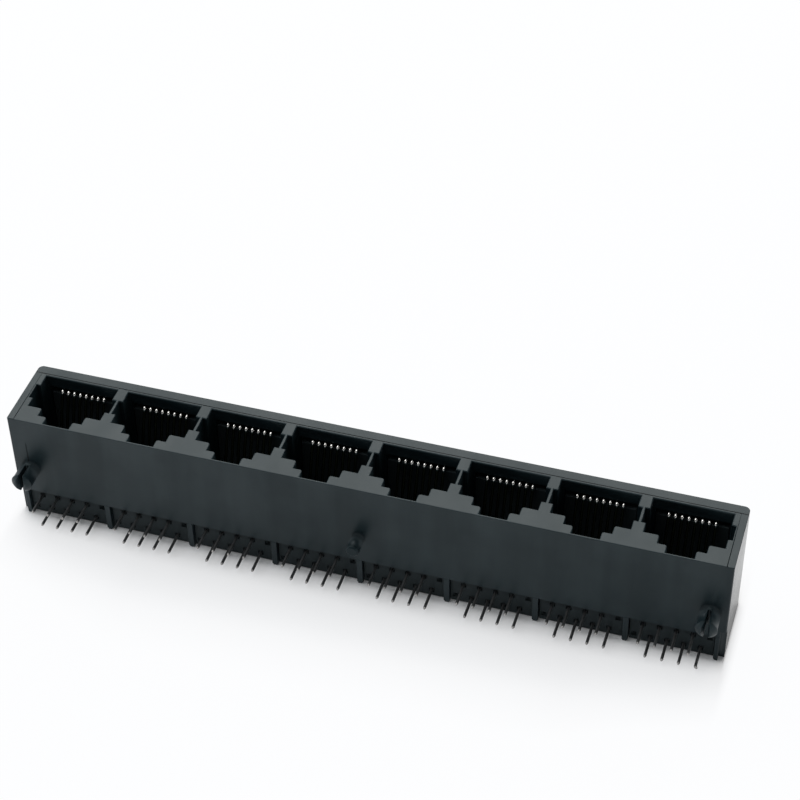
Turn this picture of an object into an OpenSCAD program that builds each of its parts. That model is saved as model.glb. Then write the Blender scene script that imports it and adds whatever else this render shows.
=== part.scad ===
// Row of eight ethernet jacks in one housing, for soldering to a circuit board.
// It stands on its rear rim: openings up (+Z), board side to the front (-Y), ports along X.
// Inside the modules heights along Y are counted from the board face; from_board() sets them
// about the middle of the housing.

/* [Housing] */
// Distance between neighbouring port centres
port_pitch = 13.97; // [13.9:0.01:14.2]
// Housing length beyond the outer half pitch at each end
end_margin = 1.12; // [1.05:0.01:1.5]
// Height from the board face to the top face
body_h = 12.8; // [12.7:0.05:13.3]
// Depth from the rear rim to the front face
body_d = 20.4; // [20:0.1:22]
// Radius of the two long corners beside the top face
top_corner_r = 0.8; // [0.4:0.1:1.2]
// Thickness of the roof over the inserts
roof_t = 0.9; // [0.75:0.05:0.95]
// Thickness of the lip between an opening and the top face
lip_t = 2.05; // [1.9:0.05:2.1]
// Depth of that lip behind the front face
lip_d = 2.1; // [1.6:0.1:2.2]
// Thickness of the partitions beside the inserts
rib_t = 0.64; // [0.5:0.02:0.7]
// Depth of the open rear bays that take the inserts
bay_d = 5.2; // [5.1:0.1:5.6]

/* [Port opening] */
// Width of the opening for the plug body
mouth_w = 12.1; // [11.9:0.05:12.3]
// Width across the two side ears
ear_w = 13.5; // [13:0.05:13.6]
// Upper edge of the ears above the board face
ear_top = 8.42; // [8:0.02:8.8]
// Lower edge of the ears above the board face
ear_bottom = 5.48; // [5:0.02:6]
// Ledge under the plug body, above the board face
ledge_y = 3.6; // [3.4:0.05:3.8]
// Width of the upper keyway for the plug's latch
key_w = 7.27; // [6.6:0.01:7.6]
// Floor of the upper keyway above the board face
key_y = 1.93; // [1.7:0.01:2.2]
// Width of the lower keyway for the latch tab
latch_w = 4.3; // [3.6:0.05:4.8]
// Floor of the lower keyway above the board face
latch_y = 0.38; // [0.3:0.02:0.6]
// Rounding of the ledge corners
ledge_r = 0.4; // [0.1:0.05:0.6]

/* [Mould line on the front face] */
// Distance of the line from the top edge
line_top = 1.57; // [1.3:0.01:1.7]
// Distance of the line from each end
line_end = 1.08; // [0.9:0.02:1.12]
// Width of the line
line_w = 0.12; // [0.05:0.01:0.2]
// Depth of the line
line_d = 0.06; // [0.02:0.01:0.1]

/* [Feet and end reliefs] */
// Width of the feet between the inserts
foot_w = 0.9; // [0.8:0.02:1]
// Height of the feet above the board face
foot_h = 2.4; // [2:0.1:3]
// How far the feet stand out of the board face
foot_rise = 0.05; // [0.02:0.01:0.2]
// Bevel at the rear end of each foot
foot_bevel = 0.3; // [0.1:0.05:0.5]
// Width of the relief outside each end foot
relief_w = 0.9; // [0.7:0.05:1]
// Height of the relief above the board face
relief_h = 0.95; // [0.5:0.05:1.1]
// Length of the relief from the rear rim
relief_l = 6.4; // [5.4:0.1:7]

/* [Snap pegs and locating post] */
// Distance of each peg axis from the housing's end
peg_inset = 2.7; // [2.4:0.05:3]
// Distance of the pegs and the post from the rear rim
peg_z = 10.2; // [9:0.1:12]
// Diameter of the peg shank
peg_d = 3.2; // [2.8:0.05:3.4]
// How far the barbs stand out of the shank
barb_rise = 0.1; // [0.05:0.01:0.15]
// Diameter of the peg tip
peg_tip_d = 2; // [1.6:0.05:2.4]
// Length of the pegs from the board face
peg_l = 4.1; // [3.6:0.1:4.6]
// Length of the plain shank under the barbs
peg_shank_l = 3; // [2.4:0.1:3.2]
// Length over which the shank flares out into the barbs
barb_l = 0.5; // [0.3:0.05:0.55]
// Length of the solid root under the slot
peg_root_l = 1; // [0.6:0.1:1.6]
// Width of the slot that splits each peg
peg_slot_w = 0.6; // [0.3:0.05:0.8]
// Width of the slot where it opens out at the tip
peg_mouth_w = 1.3; // [0.8:0.05:1.5]
// Length over which the slot opens out
peg_mouth_l = 0.7; // [0.4:0.05:1]
// Diameter of the locating post
post_d = 2.1; // [1.6:0.05:2.4]
// Length of the locating post from the board face
post_l = 3.2; // [2.4:0.1:3.6]
// Bevel at the tip of the locating post
post_bevel = 0.25; // [0.1:0.05:0.5]

/* [Inserts] */
// Clearance around the inserts
insert_gap = 0.1; // [0.05:0.01:0.15]
// How far the rear panels lie in from the rear rim
panel_set = 0.2; // [0.1:0.05:0.4]
// Bottom of the inserts above the board face
insert_y = 0.62; // [0.4:0.02:0.9]
// Width of the tongue under the roof
tongue_w = 11; // [10:0.1:11.4]
// Thickness of the tongue under the wires
tongue_web = 0.38; // [0.3:0.02:0.4]
// Width and length of the square holes around the tails
hole_w = 0.85; // [0.7:0.05:1]
// Depth of those holes
hole_d = 0.4; // [0.3:0.05:0.6]
// Depth of the comb that holds the spring ends
comb_d = 2.1; // [1.6:0.1:2.4]
// Depth of the guide notches in the partitions
notch_d = 0.13; // [0.1:0.01:0.15]

/* [Contacts] */
// Diameter of the contact wire
wire_d = 0.46; // [0.4:0.02:0.5]
// Distance between neighbouring contacts in the opening
contact_pitch = 1.016; // [1:0.002:1.03]
// Sideways distance between neighbouring tails
tail_pitch = 1.27; // [1.25:0.01:1.28]
// Distance between the two tail rows
row_gap = 2.54; // [2.4:0.02:2.6]
// Distance of the rear tail row from the rear rim
rear_row_z = 1.33; // [1.2:0.01:1.4]
// Length of the tails below the board face
tail_l = 3.5; // [2.8:0.1:4]
// Radius of the front bend at the middle of the wire
bend_r = 0.55; // [0.5:0.01:0.6]
// Distance of the bend centre from the front face
bend_set = 3.1; // [3:0.05:3.6]
// Slope of the springs across the opening, in degrees
spring_angle = 20; // [17:0.5:21]
// Clearance between a wire and its groove
wire_gap = 0.04; // [0.02:0.01:0.05]
// How far the tip of the row's last tail has been bent sideways, in degrees
hook_angle = 45; // [20:5:60]

/* [Hidden] */
$fn = 48;
ports = 8;
contacts = 8;
// Tail positions in each row of an insert, one more than it holds
row_holes = 5;
// Extra reach of a cut past the face it opens
past = 0.5;
// How far joined shapes reach into each other
lap = 0.05;

body_l = ports * port_pitch + 2 * end_margin;
mouth_top = body_h - lip_t;
roof_y = body_h - roof_t;
bay_w = port_pitch - rib_t;

insert_w = port_pitch - foot_w - 2 * insert_gap;
insert_top = roof_y - insert_gap;
insert_front = bay_d - insert_gap;

// Guide notches in the partitions: lower and upper edge of each
low_notch = [3.6, 4.8];
high_notch = [7.8, 9.8];
// Wall left between a notch's end and the bay's floor
notch_wall = 0.8;
notch_end_z = bay_d - notch_wall;
// Clearance around a guide rib in its notch
key_gap = 0.1;
// Start of the guide ribs, from the rear rim
guide_start_z = 1.4;
// Where an insert widens to fill its bay, from the rear rim
shoulder_z = 2.4;
// Clearance beside those shoulders
shoulder_gap = 0.06;

// Route of a wire: up from its tail, forward under the roof, round the bend, back down
// Depth of a wire's upper side below the insert's top
wire_cover = 0.12;
run_y = insert_top - wire_d / 2 - wire_cover;
bend_y = run_y - bend_r;
bend_z = body_d - bend_set;
bend_sweep = 180 - spring_angle;
// How much thicker the bend is than the straight wire
bend_swell = 0.02;
bend_d = wire_d + bend_swell;
spring_y = bend_y + bend_r * cos(bend_sweep);
spring_z = bend_z + bend_r * sin(bend_sweep);
// Distance of the spring ends from the insert's front
spring_clear = 0.8;
spring_end_z = insert_front + spring_clear;
spring_l = (spring_z - spring_end_z) / cos(spring_angle);
spring_end_y = spring_y - (spring_z - spring_end_z) * tan(spring_angle);
// Square knots where a wire turns: over its tail, and where its slant run straightens out
knot_swell = 0.04;
knot_w = wire_d + knot_swell;
// Length of straight wire between the second knot and the bend
lead_l = 0.9;
knot_z = bend_z - lead_l;
// Length and width of the pointed tail tips
tip_l = 0.25;
tip_ratio = 0.6;
tip_d = tip_ratio * wire_d;
// Bent tip: radius at the middle of the wire, and how far it reaches down
hook_r = 0.4;
hook_drop = hook_r * sin(hook_angle) + tip_l * cos(hook_angle);

tongue_y = run_y - wire_d / 2 - wire_gap - tongue_web;
// How far the tongue ends behind the bend's middle
tongue_set = 0.2;
tongue_end_z = bend_z - tongue_set;
channel_w = tongue_w + 2 * insert_gap;
channel_end_z = body_d - lip_d;
groove_w = wire_d + 2 * wire_gap;
// Depth of the bores in the tail holes
bore_l = 2;
// Comb that the spring ends lie in: margin past its slots, drop below the ends, height
comb_margin = 1;
comb_w = contacts * contact_pitch + comb_margin;
comb_drop = 1;
comb_y = spring_end_y - comb_drop;
comb_h = 2.6;
// Wider play in the comb than in the grooves, for the springs to move
comb_play = 4;
comb_slot_w = wire_d + comb_play * wire_gap;
// Wall left under and behind the comb's slots
comb_floor = 0.4;

function port_x(i) = (i - (ports + 1) / 2) * port_pitch;
function contact_x(k) = (k - (contacts - 1) / 2) * contact_pitch;
function tail_x(k) = (k - (contacts - 1) / 2) * tail_pitch;
// Contacts take turns between the two rows: even ones in front, odd ones at the rear
function row_z(k) = rear_row_z + (k % 2 == 0 ? row_gap : 0);
// Slant of the run that brings a wire from the tail spacing to the contact spacing
function slant(k) = atan((contact_x(k) - tail_x(k)) / (knot_z - row_z(k)));
function slant_l(k) = (knot_z - row_z(k)) / cos(slant(k));

module from_board() {
    translate([0, -body_h / 2, 0]) children();
}

// Turns a shape that stands along Z so that it stands out of the board face
module out_of_board(x, z) {
    translate([x, 0, z]) rotate([90, 0, 0]) children();
}

// A box from its low corner to its high corner
module span(low, high) {
    translate(low) cube(high - low);
}

// The sliver that has to go from a square corner at the origin to round it; the corner's
// material lies towards +X and -Y
module corner_sliver(r) {
    difference() {
        translate([-lap, -r]) square([r + lap, r + lap]);
        translate([r, -r]) circle(r);
    }
}

module body_outline() {
    difference() {
        translate([-body_l / 2, 0]) square([body_l, body_h]);
        for (side = [0, 1]) {
            mirror([side, 0]) translate([-body_l / 2, body_h]) corner_sliver(top_corner_r);
        }
    }
}

// Plug opening about the port's middle line
module mouth_outline() {
    translate([-mouth_w / 2, ledge_y]) square([mouth_w, mouth_top - ledge_y]);
    translate([-ear_w / 2, ear_bottom]) square([ear_w, ear_top - ear_bottom]);
    translate([-key_w / 2, key_y]) square([key_w, ledge_y - key_y + lap]);
    translate([-latch_w / 2, latch_y]) square([latch_w, key_y - latch_y + lap]);
    for (side = [0, 1]) {
        mirror([side, 0]) translate([key_w / 2, ledge_y]) corner_sliver(ledge_r);
        mirror([side, 0]) translate([latch_w / 2, key_y]) corner_sliver(ledge_r);
    }
}

// Everything that one port cuts out of the housing
module port_cut() {
    translate([0, 0, bay_d - lap]) linear_extrude(body_d - bay_d + past) mouth_outline();
    span([-bay_w / 2, -past, -past], [bay_w / 2, roof_y, bay_d]);
    span([-channel_w / 2, mouth_top - lap, bay_d - lap], [channel_w / 2, roof_y, channel_end_z]);
    for (edges = [low_notch, high_notch]) {
        span([-bay_w / 2 - notch_d, edges[0], -past], [bay_w / 2 + notch_d, edges[1], notch_end_z]);
    }
}

// Fine line that runs along the top and down both ends of the front face
module front_line() {
    reach = body_l / 2 - line_end;
    low_z = body_d - line_d;
    top_y = body_h - line_top;
    span([-reach, top_y - line_w, low_z], [reach, top_y, body_d + past]);
    for (side = [0, 1]) {
        mirror([side, 0, 0]) span([reach - line_w, -past, low_z], [reach, top_y, body_d + past]);
    }
}

// Foot from x0 to x1 with a bevelled rear end, easing into the board face
module foot(x0, x1) {
    translate([x0, 0, 0]) rotate([90, 0, 90]) linear_extrude(x1 - x0) polygon([
        [foot_h, 0],
        [foot_bevel - foot_rise, 0],
        [-foot_rise, foot_bevel],
        [-foot_rise, bay_d - foot_rise],
        [0, bay_d],
        [0, bay_d + lap],
        [foot_h, bay_d + lap]
    ]);
}

module feet() {
    for (i = [1 : ports - 1]) {
        x = port_x(i) + port_pitch / 2;
        foot(x - foot_w / 2, x + foot_w / 2);
    }
    inner = port_x(ports) + port_pitch / 2 - foot_w / 2;
    for (side = [0, 1]) {
        mirror([side, 0, 0]) foot(inner, body_l / 2 - relief_w);
    }
}

module end_relief() {
    for (side = [0, 1]) {
        mirror([side, 0, 0])
            span([body_l / 2 - relief_w, -past, -past], [body_l / 2 + past, relief_h, relief_l]);
    }
}

// Split peg with barbs, standing along Z
module snap_peg() {
    barb_d = peg_d + 2 * barb_rise;
    difference() {
        rotate_extrude() polygon([
            [0, -lap],
            [peg_d / 2, -lap],
            [peg_d / 2, peg_shank_l],
            [barb_d / 2, peg_shank_l + barb_l],
            [peg_tip_d / 2, peg_l],
            [0, peg_l]
        ]);
        rotate([90, 0, 0]) linear_extrude(2 * peg_d, center = true) polygon([
            [-peg_slot_w / 2, peg_root_l],
            [peg_slot_w / 2, peg_root_l],
            [peg_slot_w / 2, peg_l - peg_mouth_l],
            [peg_mouth_w / 2, peg_l],
            [peg_mouth_w / 2, peg_l + past],
            [-peg_mouth_w / 2, peg_l + past],
            [-peg_mouth_w / 2, peg_l],
            [-peg_slot_w / 2, peg_l - peg_mouth_l]
        ]);
    }
}

module locating_post() {
    rotate_extrude() polygon([
        [0, -lap],
        [post_d / 2, -lap],
        [post_d / 2, post_l - post_bevel],
        [post_d / 2 - post_bevel, post_l],
        [0, post_l]
    ]);
}

module housing() {
    color([0.1, 0.1, 0.11]) from_board() {
        difference() {
            linear_extrude(body_d) body_outline();
            for (i = [1 : ports]) {
                translate([port_x(i), 0, 0]) port_cut();
            }
            front_line();
            end_relief();
        }
        feet();
        for (side = [-1, 1]) {
            out_of_board(side * (body_l / 2 - peg_inset), peg_z) snap_peg();
        }
        out_of_board(0, peg_z) locating_post();
    }
}

// Tail holes in two staggered rows: square mouths and the bores above them
module tail_mouths() {
    row_reach = (row_holes - 1) * tail_pitch;
    for (j = [0 : row_holes - 1], row = [0, 1]) {
        x = -row_reach + 2 * tail_pitch * j + (row - 0.5) * tail_pitch;
        z = rear_row_z + row * row_gap;
        span([x - hole_w / 2, insert_y - past, z - hole_w / 2],
            [x + hole_w / 2, insert_y + hole_d, z + hole_w / 2]);
        translate([x, insert_y, z]) rotate([-90, 0, 0]) cylinder(d = groove_w, h = bore_l);
    }
}

// Room for one wire: bore of the tail, pockets of the knots, groove along the tongue
module wire_room(k) {
    low_y = run_y - groove_w / 2;
    groove_h = insert_top + past - low_y;
    translate([tail_x(k), insert_y, row_z(k)])
        rotate([-90, 0, 0]) cylinder(d = groove_w, h = run_y - insert_y);
    translate([tail_x(k), low_y, row_z(k)]) rotate([0, slant(k), 0]) translate([-groove_w / 2, 0, 0])
        cube([groove_w, groove_h, slant_l(k)]);
    span([contact_x(k) - groove_w / 2, low_y, knot_z],
        [contact_x(k) + groove_w / 2, low_y + groove_h, tongue_end_z + past]);
    knot_room(tail_x(k), row_z(k));
    knot_room(contact_x(k), knot_z);
}

module knot_room(x, z) {
    half = knot_w / 2 + wire_gap;
    span([x - half, run_y - half, z - half], [x + half, insert_top + past, z + half]);
}

module comb_slot(k) {
    span([contact_x(k) - comb_slot_w / 2, comb_y + comb_floor, insert_front + comb_floor],
        [contact_x(k) + comb_slot_w / 2, comb_y + comb_h + past, insert_front + comb_d + past]);
}

// Ribs on both sides that ride in the partitions' notches
module guides() {
    reach = bay_w / 2 + notch_d - key_gap / 2;
    for (edges = [low_notch, high_notch]) {
        span([-reach, edges[0] + key_gap, guide_start_z],
            [reach, edges[1] - key_gap, notch_end_z - key_gap]);
    }
}

module insert(i) {
    color([0.08, 0.08, 0.09]) from_board() translate([port_x(i), 0, 0]) difference() {
        union() {
            span([-insert_w / 2, insert_y, panel_set], [insert_w / 2, insert_top, insert_front]);
            span([-tongue_w / 2, tongue_y, insert_front - lap], [tongue_w / 2, insert_top, tongue_end_z]);
            span([-comb_w / 2, comb_y, insert_front - lap],
                [comb_w / 2, comb_y + comb_h, insert_front + comb_d]);
            span([-bay_w / 2 + shoulder_gap, foot_h + insert_gap, shoulder_z],
                [bay_w / 2 - shoulder_gap, insert_top, insert_front]);
            guides();
        }
        tail_mouths();
        for (k = [0 : contacts - 1]) {
            wire_room(k);
            comb_slot(k);
        }
    }
}

module knot(x, z) {
    half = knot_w / 2;
    span([x - half, run_y - half, z - half], [x + half, run_y + half, z + half]);
}

// Pointed tip of a tail, from the origin away from the board face
module tail_tip() {
    rotate([90, 0, 0]) cylinder(d1 = wire_d, d2 = tip_d, h = tip_l);
}

// The same tip after a sideways bend
module hooked_tip() {
    translate([hook_r, 0, 0]) rotate([0, 0, 180])
        rotate_extrude(angle = hook_angle) translate([hook_r, 0]) circle(d = bend_d);
    translate([hook_r * (1 - cos(hook_angle)), -hook_r * sin(hook_angle), 0])
        rotate([0, 0, hook_angle]) tail_tip();
}

module contact(k, hooked) {
    straight_l = tail_l - (hooked ? hook_drop : tip_l);
    translate([tail_x(k), -straight_l, row_z(k)]) {
        rotate([-90, 0, 0]) cylinder(d = wire_d, h = straight_l + run_y);
        if (hooked) {
            hooked_tip();
        } else {
            tail_tip();
        }
    }
    knot(tail_x(k), row_z(k));
    translate([tail_x(k), run_y, row_z(k)]) rotate([0, slant(k), 0]) cylinder(d = wire_d, h = slant_l(k));
    knot(contact_x(k), knot_z);
    translate([contact_x(k), run_y, knot_z]) cylinder(d = wire_d, h = bend_z - knot_z);
    translate([contact_x(k), bend_y, bend_z]) rotate([90, 0, 90])
        rotate_extrude(angle = bend_sweep) translate([bend_r, 0]) circle(d = bend_d);
    translate([contact_x(k), spring_y, spring_z]) rotate([bend_sweep, 0, 0])
        cylinder(d = wire_d, h = spring_l);
}

// Every second contact of a port, from the first one given
module contact_row(i, first) {
    from_board() translate([port_x(i), 0, 0]) {
        for (k = [first : 2 : contacts - 1]) {
            contact(k, i == ports && k == contacts - 1);
        }
    }
}

module front_contacts(i) {
    color([0.72, 0.6, 0.34]) contact_row(i, 0);
}

module rear_contacts(i) {
    color([0.72, 0.6, 0.34]) contact_row(i, 1);
}

housing();
for (i = [1 : ports]) {
    insert(i);
    front_contacts(i);
    rear_contacts(i);
}
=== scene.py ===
"""Row of eight ethernet jacks on its rear rim, on a white studio floor."""

import math

import bpy
from mathutils import Euler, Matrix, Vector


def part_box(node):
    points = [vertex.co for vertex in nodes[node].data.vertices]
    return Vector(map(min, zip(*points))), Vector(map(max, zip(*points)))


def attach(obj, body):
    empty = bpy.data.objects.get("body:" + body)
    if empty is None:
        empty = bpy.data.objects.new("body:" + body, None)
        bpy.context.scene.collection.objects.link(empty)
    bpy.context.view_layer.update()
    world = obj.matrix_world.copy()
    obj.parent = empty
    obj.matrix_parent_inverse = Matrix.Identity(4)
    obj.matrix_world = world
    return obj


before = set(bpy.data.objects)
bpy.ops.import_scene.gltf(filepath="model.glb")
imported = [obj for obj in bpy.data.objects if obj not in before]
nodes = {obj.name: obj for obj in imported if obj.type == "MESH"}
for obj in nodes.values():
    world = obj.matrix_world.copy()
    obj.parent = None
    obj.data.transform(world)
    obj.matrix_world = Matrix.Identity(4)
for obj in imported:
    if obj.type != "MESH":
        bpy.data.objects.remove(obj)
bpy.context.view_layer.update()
scene = bpy.context.scene

MM = 0.001
PORTS = range(1, 9)

# Faces of the housing: front, board side, roof side, and the ends' distance from the middle
FRONT = 20.4 * MM
BOARD = -6.4 * MM
TOP = 6.4 * MM
END = 57 * MM

# Spans in which the housing's look or rounding changes towards a face
FRONT_LOOK = (FRONT - 0.15 * MM, FRONT - 0.05 * MM)
END_LOOK = (END - 0.1 * MM, END)
FRONT_CORNERS = (FRONT - 0.05 * MM, FRONT - 0.02 * MM)
BOARD_CORNERS = (BOARD + 0.05 * MM, BOARD + 0.1 * MM)
TOP_CORNERS = (TOP - 0.1 * MM, TOP - 0.05 * MM)
END_CORNERS = (55.3 * MM, 55.5 * MM)
END_EDGES = (END - 0.02 * MM, END - 0.01 * MM)
SIDE_EDGES = (TOP - 0.02 * MM, TOP - 0.01 * MM)
BOARD_TO_TOP = (0, 1 * MM)

# Mould line on the front; the pairs here and for the peg line and post are full and faded reach
LINE_Y = 4.77 * MM
LINE_X = 55.86 * MM
LINE_WIDTH = (0.06 * MM, 0.10 * MM)
LINE_DEPTH = (0.08 * MM, 0.10 * MM)
LINE_SHARP = (0.10 * MM, 0.12 * MM)

# Dark line painted above the left peg
PEG_X = 54.45 * MM
PEG_LINE_Z = 13.4 * MM
PEG_LINE_WIDTH = (0.06 * MM, 0.14 * MM)
PEG_LINE_LENGTH = (1.8 * MM, 2.6 * MM)
PEG_LINE_DEPTH = (0.1 * MM, 0.2 * MM)

# End of the locating post, which is less glossy
POST_RADIUS = (1.2 * MM, 1.3 * MM)
POST_END = (-9.5 * MM, -9.3 * MM)
POST_GLOSS = 0.45

# Sill under each latch slot: half its width, and its outline in y and z
SILL_HALF = 2.4 * MM
SILL = ((-5.73, 4.80), (-5.95, 4.80), (-6.14, 4.95), (-6.14, 5.10), (-5.73, 5.10))

# Radius of the housing's widest corner, and what share of it the other corners get
CORNER = 0.5 * MM
PLAIN_SHARE = 0.12
FRONT_SHARE = 0.40
BOARD_SHARE = 0.24
TOP_SHARE = 0.16
END_SHARE = 0.26
BOARD_END_SHARE = 0.5

# How edges are found and rounded, on the inserts too
INSERT_CORNER = 0.05 * MM
SHARP_EDGE = (math.radians(29), math.radians(31))
WELD_GAP = 0.0005 * MM
FLAT_ANGLE = math.radians(0.5)
BEVEL_STEPS = 3

# Colours, linear
HOUSING_DARK = (0.0075, 0.0162, 0.0200, 1)
HOUSING_LIGHT = (0.0152, 0.0272, 0.0325, 1)
INSERT_DARK = (0.0250, 0.0340, 0.0375, 1)
INSERT_LIGHT = (0.0325, 0.0425, 0.0460, 1)
# The mould line's groove is painted darker as painted shade, on top of its real roughness; the line
# above the left peg is painted dark too
PAINTED_LINE_DARK = (0.004, 0.005, 0.006, 1)
SHEEN_TINT = (0.86, 0.965, 1, 1)
# Gold is darkened far below its own colour: painted shade of the springs deep in the openings; the
# worn shade varies at random
GOLD = (0.25, 0.20, 0.115, 1)
GOLD_WORN = (0.185, 0.145, 0.08, 1)
# Nickel is bright only on the bends' tops, where the glints fall: partly plating, partly painted
# highlight
NICKEL = (0.90, 0.89, 0.86, 1)
NICKEL_WORN = (0.78, 0.76, 0.72, 1)
# Tin is darkened far below its own colour: partly tarnish, partly painted shade for the dark
# surroundings the tails mirror
TIN = (0.165, 0.170, 0.173, 1)
TIN_STAINED = (0.115, 0.118, 0.120, 1)
TIN_CUT = (0.48, 0.47, 0.46, 1)
PAPER = (0.91, 0.935, 0.955, 1)
PAPER_LIGHT = (0.935, 0.955, 0.97, 1)
PAPER_WHITE = (0.985, 0.99, 1, 1)
SKY = (0.97, 0.985, 1, 1)

# Tone of the plastic: clouds and streaks of noise, in cells a metre, and what share each has
CLOUD_CELLS = 88
CLOUD_SHARE = 0.55
STREAK_CELLS = 252
STREAK_STRETCH = (1, 1, 0.12)
STREAK_SHARE = 0.45
NOISE_SPAN = (0.36, 0.64)
FRONT_CALM = 0.35

# Sheen of the plastic: roughness follows its own noise, gloss follows the tone
SHEEN_CELLS = 210
SHEEN_STRETCH = (1, 0.45, 0.45)
SHEEN_SPAN = (0.3, 0.7)
HOUSING_ROUGH = (0.35, 0.45)
INSERT_ROUGH = (0.38, 0.48)
MARK_ROUGHER = 0.4
END_SMOOTHER = 0.5
HOUSING_GLOSS = 0.30
INSERT_GLOSS = 0.12
GLOSS_SPREAD = 0.12
TONE_SPAN = (0.15, 0.85)

# Grain of the plastic, with strength and depth of its relief
GRAIN_CELLS = 5200
GRAIN_RELIEF = (0.22, 6e-6)

# Wire: tails become springs along y, the bends' plating starts in z, and tails end in a cut
TAIL_TO_SPRING = (-3.6 * MM, -2.6 * MM)
# The plated band is kept to where the glints fall on the bends: partly painted highlight
BEND_PLATING = (17.4 * MM, 17.6 * MM)
CUT_END = (0.1 * MM, 0.3 * MM)
TAIL_ROUGH = 0.55
SPRING_ROUGH = 0.05
BEND_ROUGHER = 0.05

# Stain and drawing marks of the wire
STAIN_CELLS = 900
STAIN_SPAN = (0.3, 0.75)
DRAWN_CELLS = 6000
DRAWN_STRETCH = (1, 0.08, 1)
DRAWN_RELIEF = (0.08, 2e-6)

# Floor: half its size in metres, and its paper
FLOOR_HALF = 12
PAPER_CELLS = 40
PAPER_ROUGH = 0.6
PAPER_GLOSS = 0.2

# How white the floor is seen, by the distance from the part in shares of this reach; the glow is
# held low near the part and paints the falloff of its shadow
WHITE_REACH = 25 * MM
WHITENING = (
    (0, 0.05),
    (0.04, 0.29),
    (0.12, 0.53),
    (0.2, 0.66),
    (0.32, 0.72),
    (0.56, 0.86),
    (0.9, 0.97),
)

# The distance counts so many times past the ends, and up to so many times along the sides, which
# narrows the painted shadow there
END_PACE = 14
SIDE_PACE = 1.7
SIDE_START = 35 * MM

# In reflections the floor's white falls to this share towards the right end and is back past it:
# painted shade on the right part of the board face, which mirrors the floor
MIRROR_LOW = 0.3
MIRROR_FALL = (-END, 0.75 * END)
MIRROR_RISE = (END, 1.1 * END)

# World: strength on the camera's side and behind the part, and where the seen white ends
WORLD_DIM = 0.07
WORLD_PALE = 0.40
WORLD_TURN = (-0.3, 0.8)
HORIZON = (0.2, 0.6)

# Camera, fitted to the photo
CAMERA_PLACE = (77.489 * MM, -223.628 * MM, 250.566 * MM)
CAMERA_DEGREES = (47.37855, 0.92797, 17.08217)
CAMERA_SENSOR = 36
CAMERA_LENS = 98.277
CAMERA_NEAR = 0.01


def math_node(tree, operation, first, second=None):
    """Math node of two sockets, of a socket and a number, or of one socket."""
    node = tree.nodes.new("ShaderNodeMath")
    node.operation = operation
    for socket, value in ((node.inputs[0], first), (node.inputs[1], second)):
        if value is None:
            continue
        if isinstance(value, (int, float)):
            socket.default_value = value
        else:
            tree.links.new(value, socket)
    return node.outputs["Value"]


def ranged(tree, value, from_low, from_high, to_low, to_high):
    """Value carried from one range to another and held at its ends."""
    node = tree.nodes.new("ShaderNodeMapRange")
    node.inputs["From Min"].default_value = from_low
    node.inputs["From Max"].default_value = from_high
    node.inputs["To Min"].default_value = to_low
    node.inputs["To Max"].default_value = to_high
    tree.links.new(value, node.inputs["Value"])
    return node.outputs["Result"]


def near(tree, value, middle, inner, outer):
    """1 within inner of the middle, 0 beyond outer."""
    away = math_node(tree, "ABSOLUTE", math_node(tree, "SUBTRACT", value, middle))
    return ranged(tree, away, inner, outer, 1, 0)


def split_axes(tree, vector):
    """X, Y and Z of a vector, by name."""
    node = tree.nodes.new("ShaderNodeSeparateXYZ")
    tree.links.new(vector, node.inputs["Vector"])
    return node.outputs


def noise(tree, coords, cells, detail=3, stretch=(1, 1, 1)):
    """Noise of so many cells a metre; stretch below 1 draws it out along an axis."""
    mapping = tree.nodes.new("ShaderNodeMapping")
    mapping.inputs["Scale"].default_value = stretch
    tree.links.new(coords, mapping.inputs["Vector"])
    node = tree.nodes.new("ShaderNodeTexNoise")
    node.inputs["Scale"].default_value = cells
    node.inputs["Detail"].default_value = detail
    tree.links.new(mapping.outputs["Vector"], node.inputs["Vector"])
    return node.outputs["Fac"]


def mixed(tree, share, first, second):
    """Colour between two colours or sockets."""
    node = tree.nodes.new("ShaderNodeMix")
    node.data_type = "RGBA"
    tree.links.new(share, node.inputs["Factor"])
    a, b = [s for s in node.inputs if s.type == "RGBA"]
    for socket, value in ((a, first), (b, second)):
        if isinstance(value, tuple):
            socket.default_value = value
        else:
            tree.links.new(value, socket)
    return [s for s in node.outputs if s.type == "RGBA"][0]


def bumped(tree, shader, height, strength, distance):
    """Fine relief on the shader's surface."""
    node = tree.nodes.new("ShaderNodeBump")
    node.inputs["Strength"].default_value = strength
    node.inputs["Distance"].default_value = distance
    tree.links.new(height, node.inputs["Height"])
    tree.links.new(node.outputs["Normal"], shader.inputs["Normal"])


def seen_share(tree, mirror=None):
    """1 where seen straight, mirrored or through something clear; mirror dims the last two."""
    ray = tree.nodes.new("ShaderNodeLightPath").outputs
    mirrored = math_node(tree, "MAXIMUM", ray["Is Glossy Ray"], ray["Is Transmission Ray"])
    if mirror is not None:
        mirrored = math_node(tree, "MULTIPLY", mirrored, mirror)
    return math_node(tree, "MAXIMUM", ray["Is Camera Ray"], mirrored)


def new_material(name):
    """A node material with its shader, its output and its object coordinates."""
    material = bpy.data.materials.new(name)
    material.use_nodes = True
    tree = material.node_tree
    tree.nodes.clear()
    out = tree.nodes.new("ShaderNodeOutputMaterial")
    shader = tree.nodes.new("ShaderNodeBsdfPrincipled")
    tree.links.new(shader.outputs["BSDF"], out.inputs["Surface"])
    coords = tree.nodes.new("ShaderNodeTexCoord")
    return material, tree, shader, out, coords.outputs["Object"]


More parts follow.
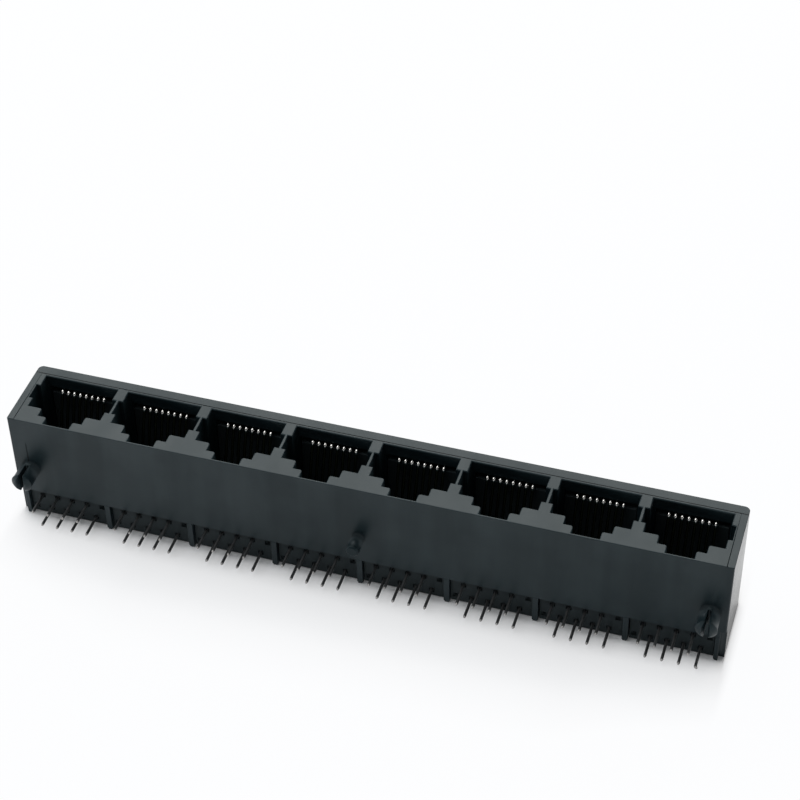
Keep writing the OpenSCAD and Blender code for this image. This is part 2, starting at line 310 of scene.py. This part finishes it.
def mould_tone(tree, coords, axes):
    """Cloudy tone with flow streaks, around 0.5 and calmer on the front face."""
    clouds = noise(tree, coords, CLOUD_CELLS, detail=4)
    streaks = noise(tree, coords, STREAK_CELLS, stretch=STREAK_STRETCH)
    tone = math_node(
        tree,
        "ADD",
        math_node(tree, "MULTIPLY", ranged(tree, clouds, *NOISE_SPAN, 0, 1), CLOUD_SHARE),
        math_node(tree, "MULTIPLY", ranged(tree, streaks, *NOISE_SPAN, 0, 1), STREAK_SHARE),
    )
    calm = ranged(tree, axes["Z"], *FRONT_LOOK, 1, FRONT_CALM)
    swing = math_node(tree, "MULTIPLY", math_node(tree, "SUBTRACT", tone, 0.5), calm)
    return math_node(tree, "ADD", swing, 0.5)


def housing_marks(tree, axes):
    """1 in the mould line on the front and in the dark line above the left peg."""
    line = math_node(
        tree,
        "MULTIPLY",
        near(tree, axes["Y"], LINE_Y, *LINE_WIDTH),
        near(tree, axes["Z"], FRONT, *LINE_DEPTH),
    )
    peg_line = near(tree, axes["X"], -PEG_X, *PEG_LINE_WIDTH)
    for axis, middle, reach in (("Z", PEG_LINE_Z, PEG_LINE_LENGTH), ("Y", BOARD, PEG_LINE_DEPTH)):
        peg_line = math_node(tree, "MULTIPLY", peg_line, near(tree, axes[axis], middle, *reach))
    return math_node(tree, "MAXIMUM", line, peg_line)


def plastic(name, dark, light, roughness, level, housing=False):
    """Black moulded plastic: cloudy tone, uneven sheen, fine grain, and the housing's painted dark
    lines.
    """
    material, tree, shader, _, coords = new_material(name)
    axes = split_axes(tree, coords)
    tone = mould_tone(tree, coords, axes)
    colour = mixed(tree, tone, dark, light)
    sheen = noise(tree, coords, SHEEN_CELLS, detail=5, stretch=SHEEN_STRETCH)
    rough = ranged(tree, sheen, *SHEEN_SPAN, *roughness)
    gloss_span = (level * (1 - GLOSS_SPREAD), level * (1 + GLOSS_SPREAD))
    gloss = ranged(tree, tone, *TONE_SPAN, *gloss_span)
    if housing:
        from_middle = math_node(tree, "ABSOLUTE", axes["X"])
        smoother = ranged(tree, from_middle, *END_LOOK, 1, END_SMOOTHER)
        mark = housing_marks(tree, axes)
        # Painted shade darkens the mould line's groove, and a dark line is painted above the left
        # peg
        colour = mixed(tree, mark, colour, PAINTED_LINE_DARK)
        rough = math_node(tree, "MULTIPLY", rough, smoother)
        rough = math_node(tree, "ADD", rough, math_node(tree, "MULTIPLY", mark, MARK_ROUGHER))
        at_post = math_node(
            tree,
            "MULTIPLY",
            near(tree, axes["X"], 0, *POST_RADIUS),
            ranged(tree, axes["Y"], *POST_END, 1, 0),
        )
        gloss = math_node(tree, "MULTIPLY", gloss, ranged(tree, at_post, 0, 1, 1, POST_GLOSS))
    shader.inputs["Specular Tint"].default_value = SHEEN_TINT
    tree.links.new(gloss, shader.inputs["Specular IOR Level"])
    tree.links.new(colour, shader.inputs["Base Color"])
    tree.links.new(rough, shader.inputs["Roughness"])
    bumped(tree, shader, noise(tree, coords, GRAIN_CELLS, detail=2), *GRAIN_RELIEF)
    return material


def contact_metal(name):
    """Plated wire: gold on the springs in the openings and tin on the tails, both darkened as
    painted shade, and nickel on their bends' tops, partly painted highlight.
    """
    material, tree, shader, _, coords = new_material(name)
    axes = split_axes(tree, coords)
    stain = ranged(tree, noise(tree, coords, STAIN_CELLS, detail=4), *STAIN_SPAN, 0, 1)
    # Darkened gold: painted shade of the springs in the openings
    gold = mixed(tree, stain, GOLD, GOLD_WORN)
    nickel = mixed(tree, stain, NICKEL, NICKEL_WORN)
    # Darkened tin: partly tarnish, partly painted shade
    tin = mixed(tree, stain, TIN, TIN_STAINED)
    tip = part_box("front_contacts_1")[0][1]
    at_cut = ranged(tree, axes["Y"], *(tip + length for length in CUT_END), 1, 0)
    # Bright nickel on the bends' tops: partly plating, partly painted highlight
    at_bend = ranged(tree, axes["Z"], *BEND_PLATING, 0, 1)
    off_tail = ranged(tree, axes["Y"], *TAIL_TO_SPRING, 0, 1)
    tail = mixed(tree, at_cut, tin, TIN_CUT)
    spring = mixed(tree, at_bend, gold, nickel)
    rough = math_node(
        tree,
        "ADD",
        ranged(tree, off_tail, 0, 1, TAIL_ROUGH, SPRING_ROUGH),
        ranged(tree, at_bend, 0, 1, 0, BEND_ROUGHER),
    )
    shader.inputs["Metallic"].default_value = 1
    tree.links.new(mixed(tree, off_tail, tail, spring), shader.inputs["Base Color"])
    tree.links.new(rough, shader.inputs["Roughness"])
    drawn = noise(tree, coords, DRAWN_CELLS, detail=2, stretch=DRAWN_STRETCH)
    bumped(tree, shader, drawn, *DRAWN_RELIEF)
    return material


def dress(node_name, material):
    """Gives a CAD node its material."""
    node = nodes[node_name]
    node.data.materials.clear()
    node.data.materials.append(material)
    return node


def housing_share(group, axes):
    """The share of the widest radius that a corner of the housing gets, by its place."""
    from_middle = math_node(group, "ABSOLUTE", axes["X"])
    up, across = axes["Y"], axes["Z"]
    part = ranged(group, across, *FRONT_CORNERS, PLAIN_SHARE, FRONT_SHARE)
    for limit in (
        ranged(group, up, *BOARD_CORNERS, BOARD_SHARE, 1),
        ranged(group, up, *TOP_CORNERS, 1, TOP_SHARE),
        ranged(group, from_middle, *END_CORNERS, 1, END_SHARE),
    ):
        part = math_node(group, "MINIMUM", part, limit)
    # The edges between the ends and the board and roof sides are the widest
    at_end = ranged(group, from_middle, *END_EDGES, 0, 1)
    at_side = ranged(group, math_node(group, "ABSOLUTE", up), *SIDE_EDGES, 0, 1)
    side_share = ranged(group, up, *BOARD_TO_TOP, BOARD_END_SHARE, 1)
    at_side = math_node(group, "MULTIPLY", at_side, side_share)
    part = math_node(group, "MAXIMUM", part, math_node(group, "MULTIPLY", at_end, at_side))
    # The edges of the mould line stay sharp
    for value, middle in ((up, LINE_Y), (from_middle, LINE_X)):
        off_line = math_node(group, "SUBTRACT", 1, near(group, value, middle, *LINE_SHARP))
        part = math_node(group, "MULTIPLY", part, off_line)
    return part


def corner_shares(name, housing=False):
    """Modifier nodes that give each outward corner its share of the bevel."""
    group = bpy.data.node_groups.new(name, "GeometryNodeTree")
    for way in ("INPUT", "OUTPUT"):
        group.interface.new_socket("Geometry", in_out=way, socket_type="NodeSocketGeometry")
    start = group.nodes.new("NodeGroupInput")
    end = group.nodes.new("NodeGroupOutput")
    fold = group.nodes.new("GeometryNodeInputMeshEdgeAngle")
    share = ranged(group, fold.outputs["Signed Angle"], *SHARP_EDGE, 0, 1)
    if housing:
        place = group.nodes.new("GeometryNodeInputPosition")
        part = housing_share(group, split_axes(group, place.outputs["Position"]))
        share = math_node(group, "MULTIPLY", share, part)
    store = group.nodes.new("GeometryNodeStoreNamedAttribute")
    store.data_type = "FLOAT"
    store.domain = "EDGE"
    store.inputs["Name"].default_value = "bevel_weight_edge"
    group.links.new(share, store.inputs["Value"])
    group.links.new(start.outputs["Geometry"], store.inputs["Geometry"])
    group.links.new(store.outputs["Geometry"], end.inputs["Geometry"])
    return group


def soften(node, shares, width):
    """Joins the split corners of a carried solid and rounds its outward edges."""
    weld = node.modifiers.new("weld", "WELD")
    weld.merge_threshold = WELD_GAP
    flat = node.modifiers.new("flat", "DECIMATE")
    flat.decimate_type = "DISSOLVE"
    flat.angle_limit = FLAT_ANGLE
    weigh = node.modifiers.new("shares", "NODES")
    weigh.node_group = shares
    bevel = node.modifiers.new("bevel", "BEVEL")
    bevel.limit_method = "WEIGHT"
    bevel.width = width
    bevel.segments = BEVEL_STEPS
    bevel.use_clamp_overlap = False
    bevel.loop_slide = False
    normals = node.modifiers.new("normals", "WEIGHTED_NORMAL")
    normals.weight = 100


def latch_sill(port, material):
    """Strip along the insert's lower front edge that closes the end of the latch slot."""
    low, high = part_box(f"insert_{port}")
    middle = (low[0] + high[0]) / 2
    corners = [(middle + side * SILL_HALF, y * MM, z * MM) for side in (-1, 1) for y, z in SILL]
    count = len(SILL)
    ring = range(count)
    faces = [(count + i, count + (i + 1) % count, (i + 1) % count, i) for i in ring]
    faces += [tuple(ring), tuple(count + i for i in reversed(ring))]
    mesh = bpy.data.meshes.new(f"latch_sill_{port}")
    mesh.from_pydata(corners, [], faces)
    mesh.materials.append(material)
    sill = bpy.data.objects.new(f"latch_sill_{port}", mesh)
    scene.collection.objects.link(sill)
    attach(sill, "root")


def whiteness(tree, axes):
    """How white the floor is seen, rising with the distance from the part's footprint: the painted
    falloff of the part's shadow.
    """
    from_middle = math_node(tree, "ABSOLUTE", axes["X"])
    side_pace = ranged(tree, from_middle, SIDE_START, END, 1, SIDE_PACE)
    squares = []
    for axis, half, pace in (("X", END, END_PACE), ("Y", TOP, side_pace)):
        gap = math_node(tree, "SUBTRACT", math_node(tree, "ABSOLUTE", axes[axis]), half)
        gap = math_node(tree, "MULTIPLY", math_node(tree, "MAXIMUM", gap, 0), pace)
        squares.append(math_node(tree, "MULTIPLY", gap, gap))
    apart = math_node(tree, "SQRT", math_node(tree, "ADD", *squares))
    ramp = tree.nodes.new("ShaderNodeValToRGB")
    tree.links.new(ranged(tree, apart, 0, WHITE_REACH, 0, 1), ramp.inputs["Fac"])
    stops = ramp.color_ramp.elements
    stops[0].position, stops[1].position = 0, 1
    while len(stops) < len(WHITENING):
        stops.new(0.5)
    for stop, (where, share) in zip(stops, WHITENING):
        stop.position = where
        stop.color = (share, share, share, 1)
    return ramp.outputs["Color"]


def floor_paper(name):
    """White paper that keeps the part's shadow near it and is seen white further off; the glow's
    rise paints the shadow's falloff.
    """
    material, tree, shader, out, coords = new_material(name)
    axes = split_axes(tree, coords)
    grain = noise(tree, coords, PAPER_CELLS)
    tree.links.new(mixed(tree, grain, PAPER, PAPER_LIGHT), shader.inputs["Base Color"])
    shader.inputs["Roughness"].default_value = PAPER_ROUGH
    shader.inputs["Specular IOR Level"].default_value = PAPER_GLOSS
    glow = tree.nodes.new("ShaderNodeEmission")
    glow.inputs["Color"].default_value = PAPER_WHITE
    # The glow seen in reflections falls towards the right end: painted shade on the board face
    mirror = math_node(
        tree,
        "MAXIMUM",
        ranged(tree, axes["X"], *MIRROR_FALL, 1, MIRROR_LOW),
        ranged(tree, axes["X"], *MIRROR_RISE, 0, 1),
    )
    lift = math_node(tree, "MULTIPLY", seen_share(tree, mirror), whiteness(tree, axes))
    blend = tree.nodes.new("ShaderNodeMixShader")
    tree.links.new(lift, blend.inputs["Fac"])
    tree.links.new(shader.outputs["BSDF"], blend.inputs[1])
    tree.links.new(glow.outputs["Emission"], blend.inputs[2])
    tree.links.new(blend.outputs["Shader"], out.inputs["Surface"])
    return material


def lay_floor():
    """Square floor under the part."""
    half = FLOOR_HALF
    corners = [(-half, -half, 0), (half, -half, 0), (half, half, 0), (-half, half, 0)]
    mesh = bpy.data.meshes.new("floor")
    mesh.from_pydata(corners, [], [(0, 1, 2, 3)])
    mesh.materials.append(floor_paper("floor_paper"))
    floor = bpy.data.objects.new("floor", mesh)
    scene.collection.objects.link(floor)


def light_world():
    """World: pale behind the part, dim on the camera's side, seen white along the horizon."""
    world = bpy.data.worlds.new("studio")
    scene.world = world
    world.use_nodes = True
    tree = world.node_tree
    tree.nodes.clear()
    out = tree.nodes.new("ShaderNodeOutputWorld")
    sky = tree.nodes.new("ShaderNodeBackground")
    sky.inputs["Color"].default_value = SKY
    heading = tree.nodes.new("ShaderNodeTexCoord")
    axes = split_axes(tree, heading.outputs["Generated"])
    light = ranged(tree, axes["Y"], *WORLD_TURN, WORLD_DIM, WORLD_PALE)
    low = ranged(tree, axes["Z"], *HORIZON, 1, 0)
    white = math_node(tree, "MULTIPLY", seen_share(tree), low)
    tree.links.new(math_node(tree, "MAXIMUM", light, white), sky.inputs["Strength"])
    tree.links.new(sky.outputs["Background"], out.inputs["Surface"])


def softbox(name, place, target, size, watts, colour=(1, 1, 1)):
    """Rectangular lamp that faces the target."""
    light = bpy.data.lights.new(name, "AREA")
    light.shape = "RECTANGLE"
    light.size, light.size_y = size
    light.energy = watts
    light.color = colour
    lamp = bpy.data.objects.new(name, light)
    lamp.location = place
    lamp.rotation_euler = (Vector(target) - Vector(place)).to_track_quat("-Z", "Y").to_euler()
    scene.collection.objects.link(lamp)


def place_camera():
    """Camera at the photo's angle."""
    view = bpy.data.cameras.new("camera")
    view.sensor_width = CAMERA_SENSOR
    view.lens = CAMERA_LENS
    view.clip_start = CAMERA_NEAR
    camera = bpy.data.objects.new("camera", view)
    camera.location = CAMERA_PLACE
    camera.rotation_euler = Euler([math.radians(a) for a in CAMERA_DEGREES], "XYZ")
    scene.collection.objects.link(camera)
    scene.camera = camera


housing_plastic = plastic(
    "housing_plastic", HOUSING_DARK, HOUSING_LIGHT, HOUSING_ROUGH, HOUSING_GLOSS, housing=True
)
insert_plastic = plastic(
    "insert_plastic", INSERT_DARK, INSERT_LIGHT, INSERT_ROUGH, INSERT_GLOSS
)
metal = contact_metal("contact_metal")

housing_corners = corner_shares("housing_corners", housing=True)
insert_corners = corner_shares("insert_corners")
soften(dress("housing", housing_plastic), housing_corners, CORNER)
for port in PORTS:
    soften(dress(f"insert_{port}", insert_plastic), insert_corners, INSERT_CORNER)
    dress(f"front_contacts_{port}", metal)
    dress(f"rear_contacts_{port}", metal)
    latch_sill(port, insert_plastic)

lay_floor()
light_world()
softbox(
    "back_softbox",
    place=(-0.02, 0.52, 0.52),
    target=(0, 0, 0),
    size=(0.9, 0.5),
    watts=4.6,
    colour=(1, 0.94, 0.89),
)
softbox(
    "top_softbox",
    place=(-0.3, 0.02, 0.6),
    target=(-0.05, 0, 0),
    size=(0.7, 0.7),
    watts=3.1,
)
place_camera()
scene.view_settings.view_transform = "Standard"
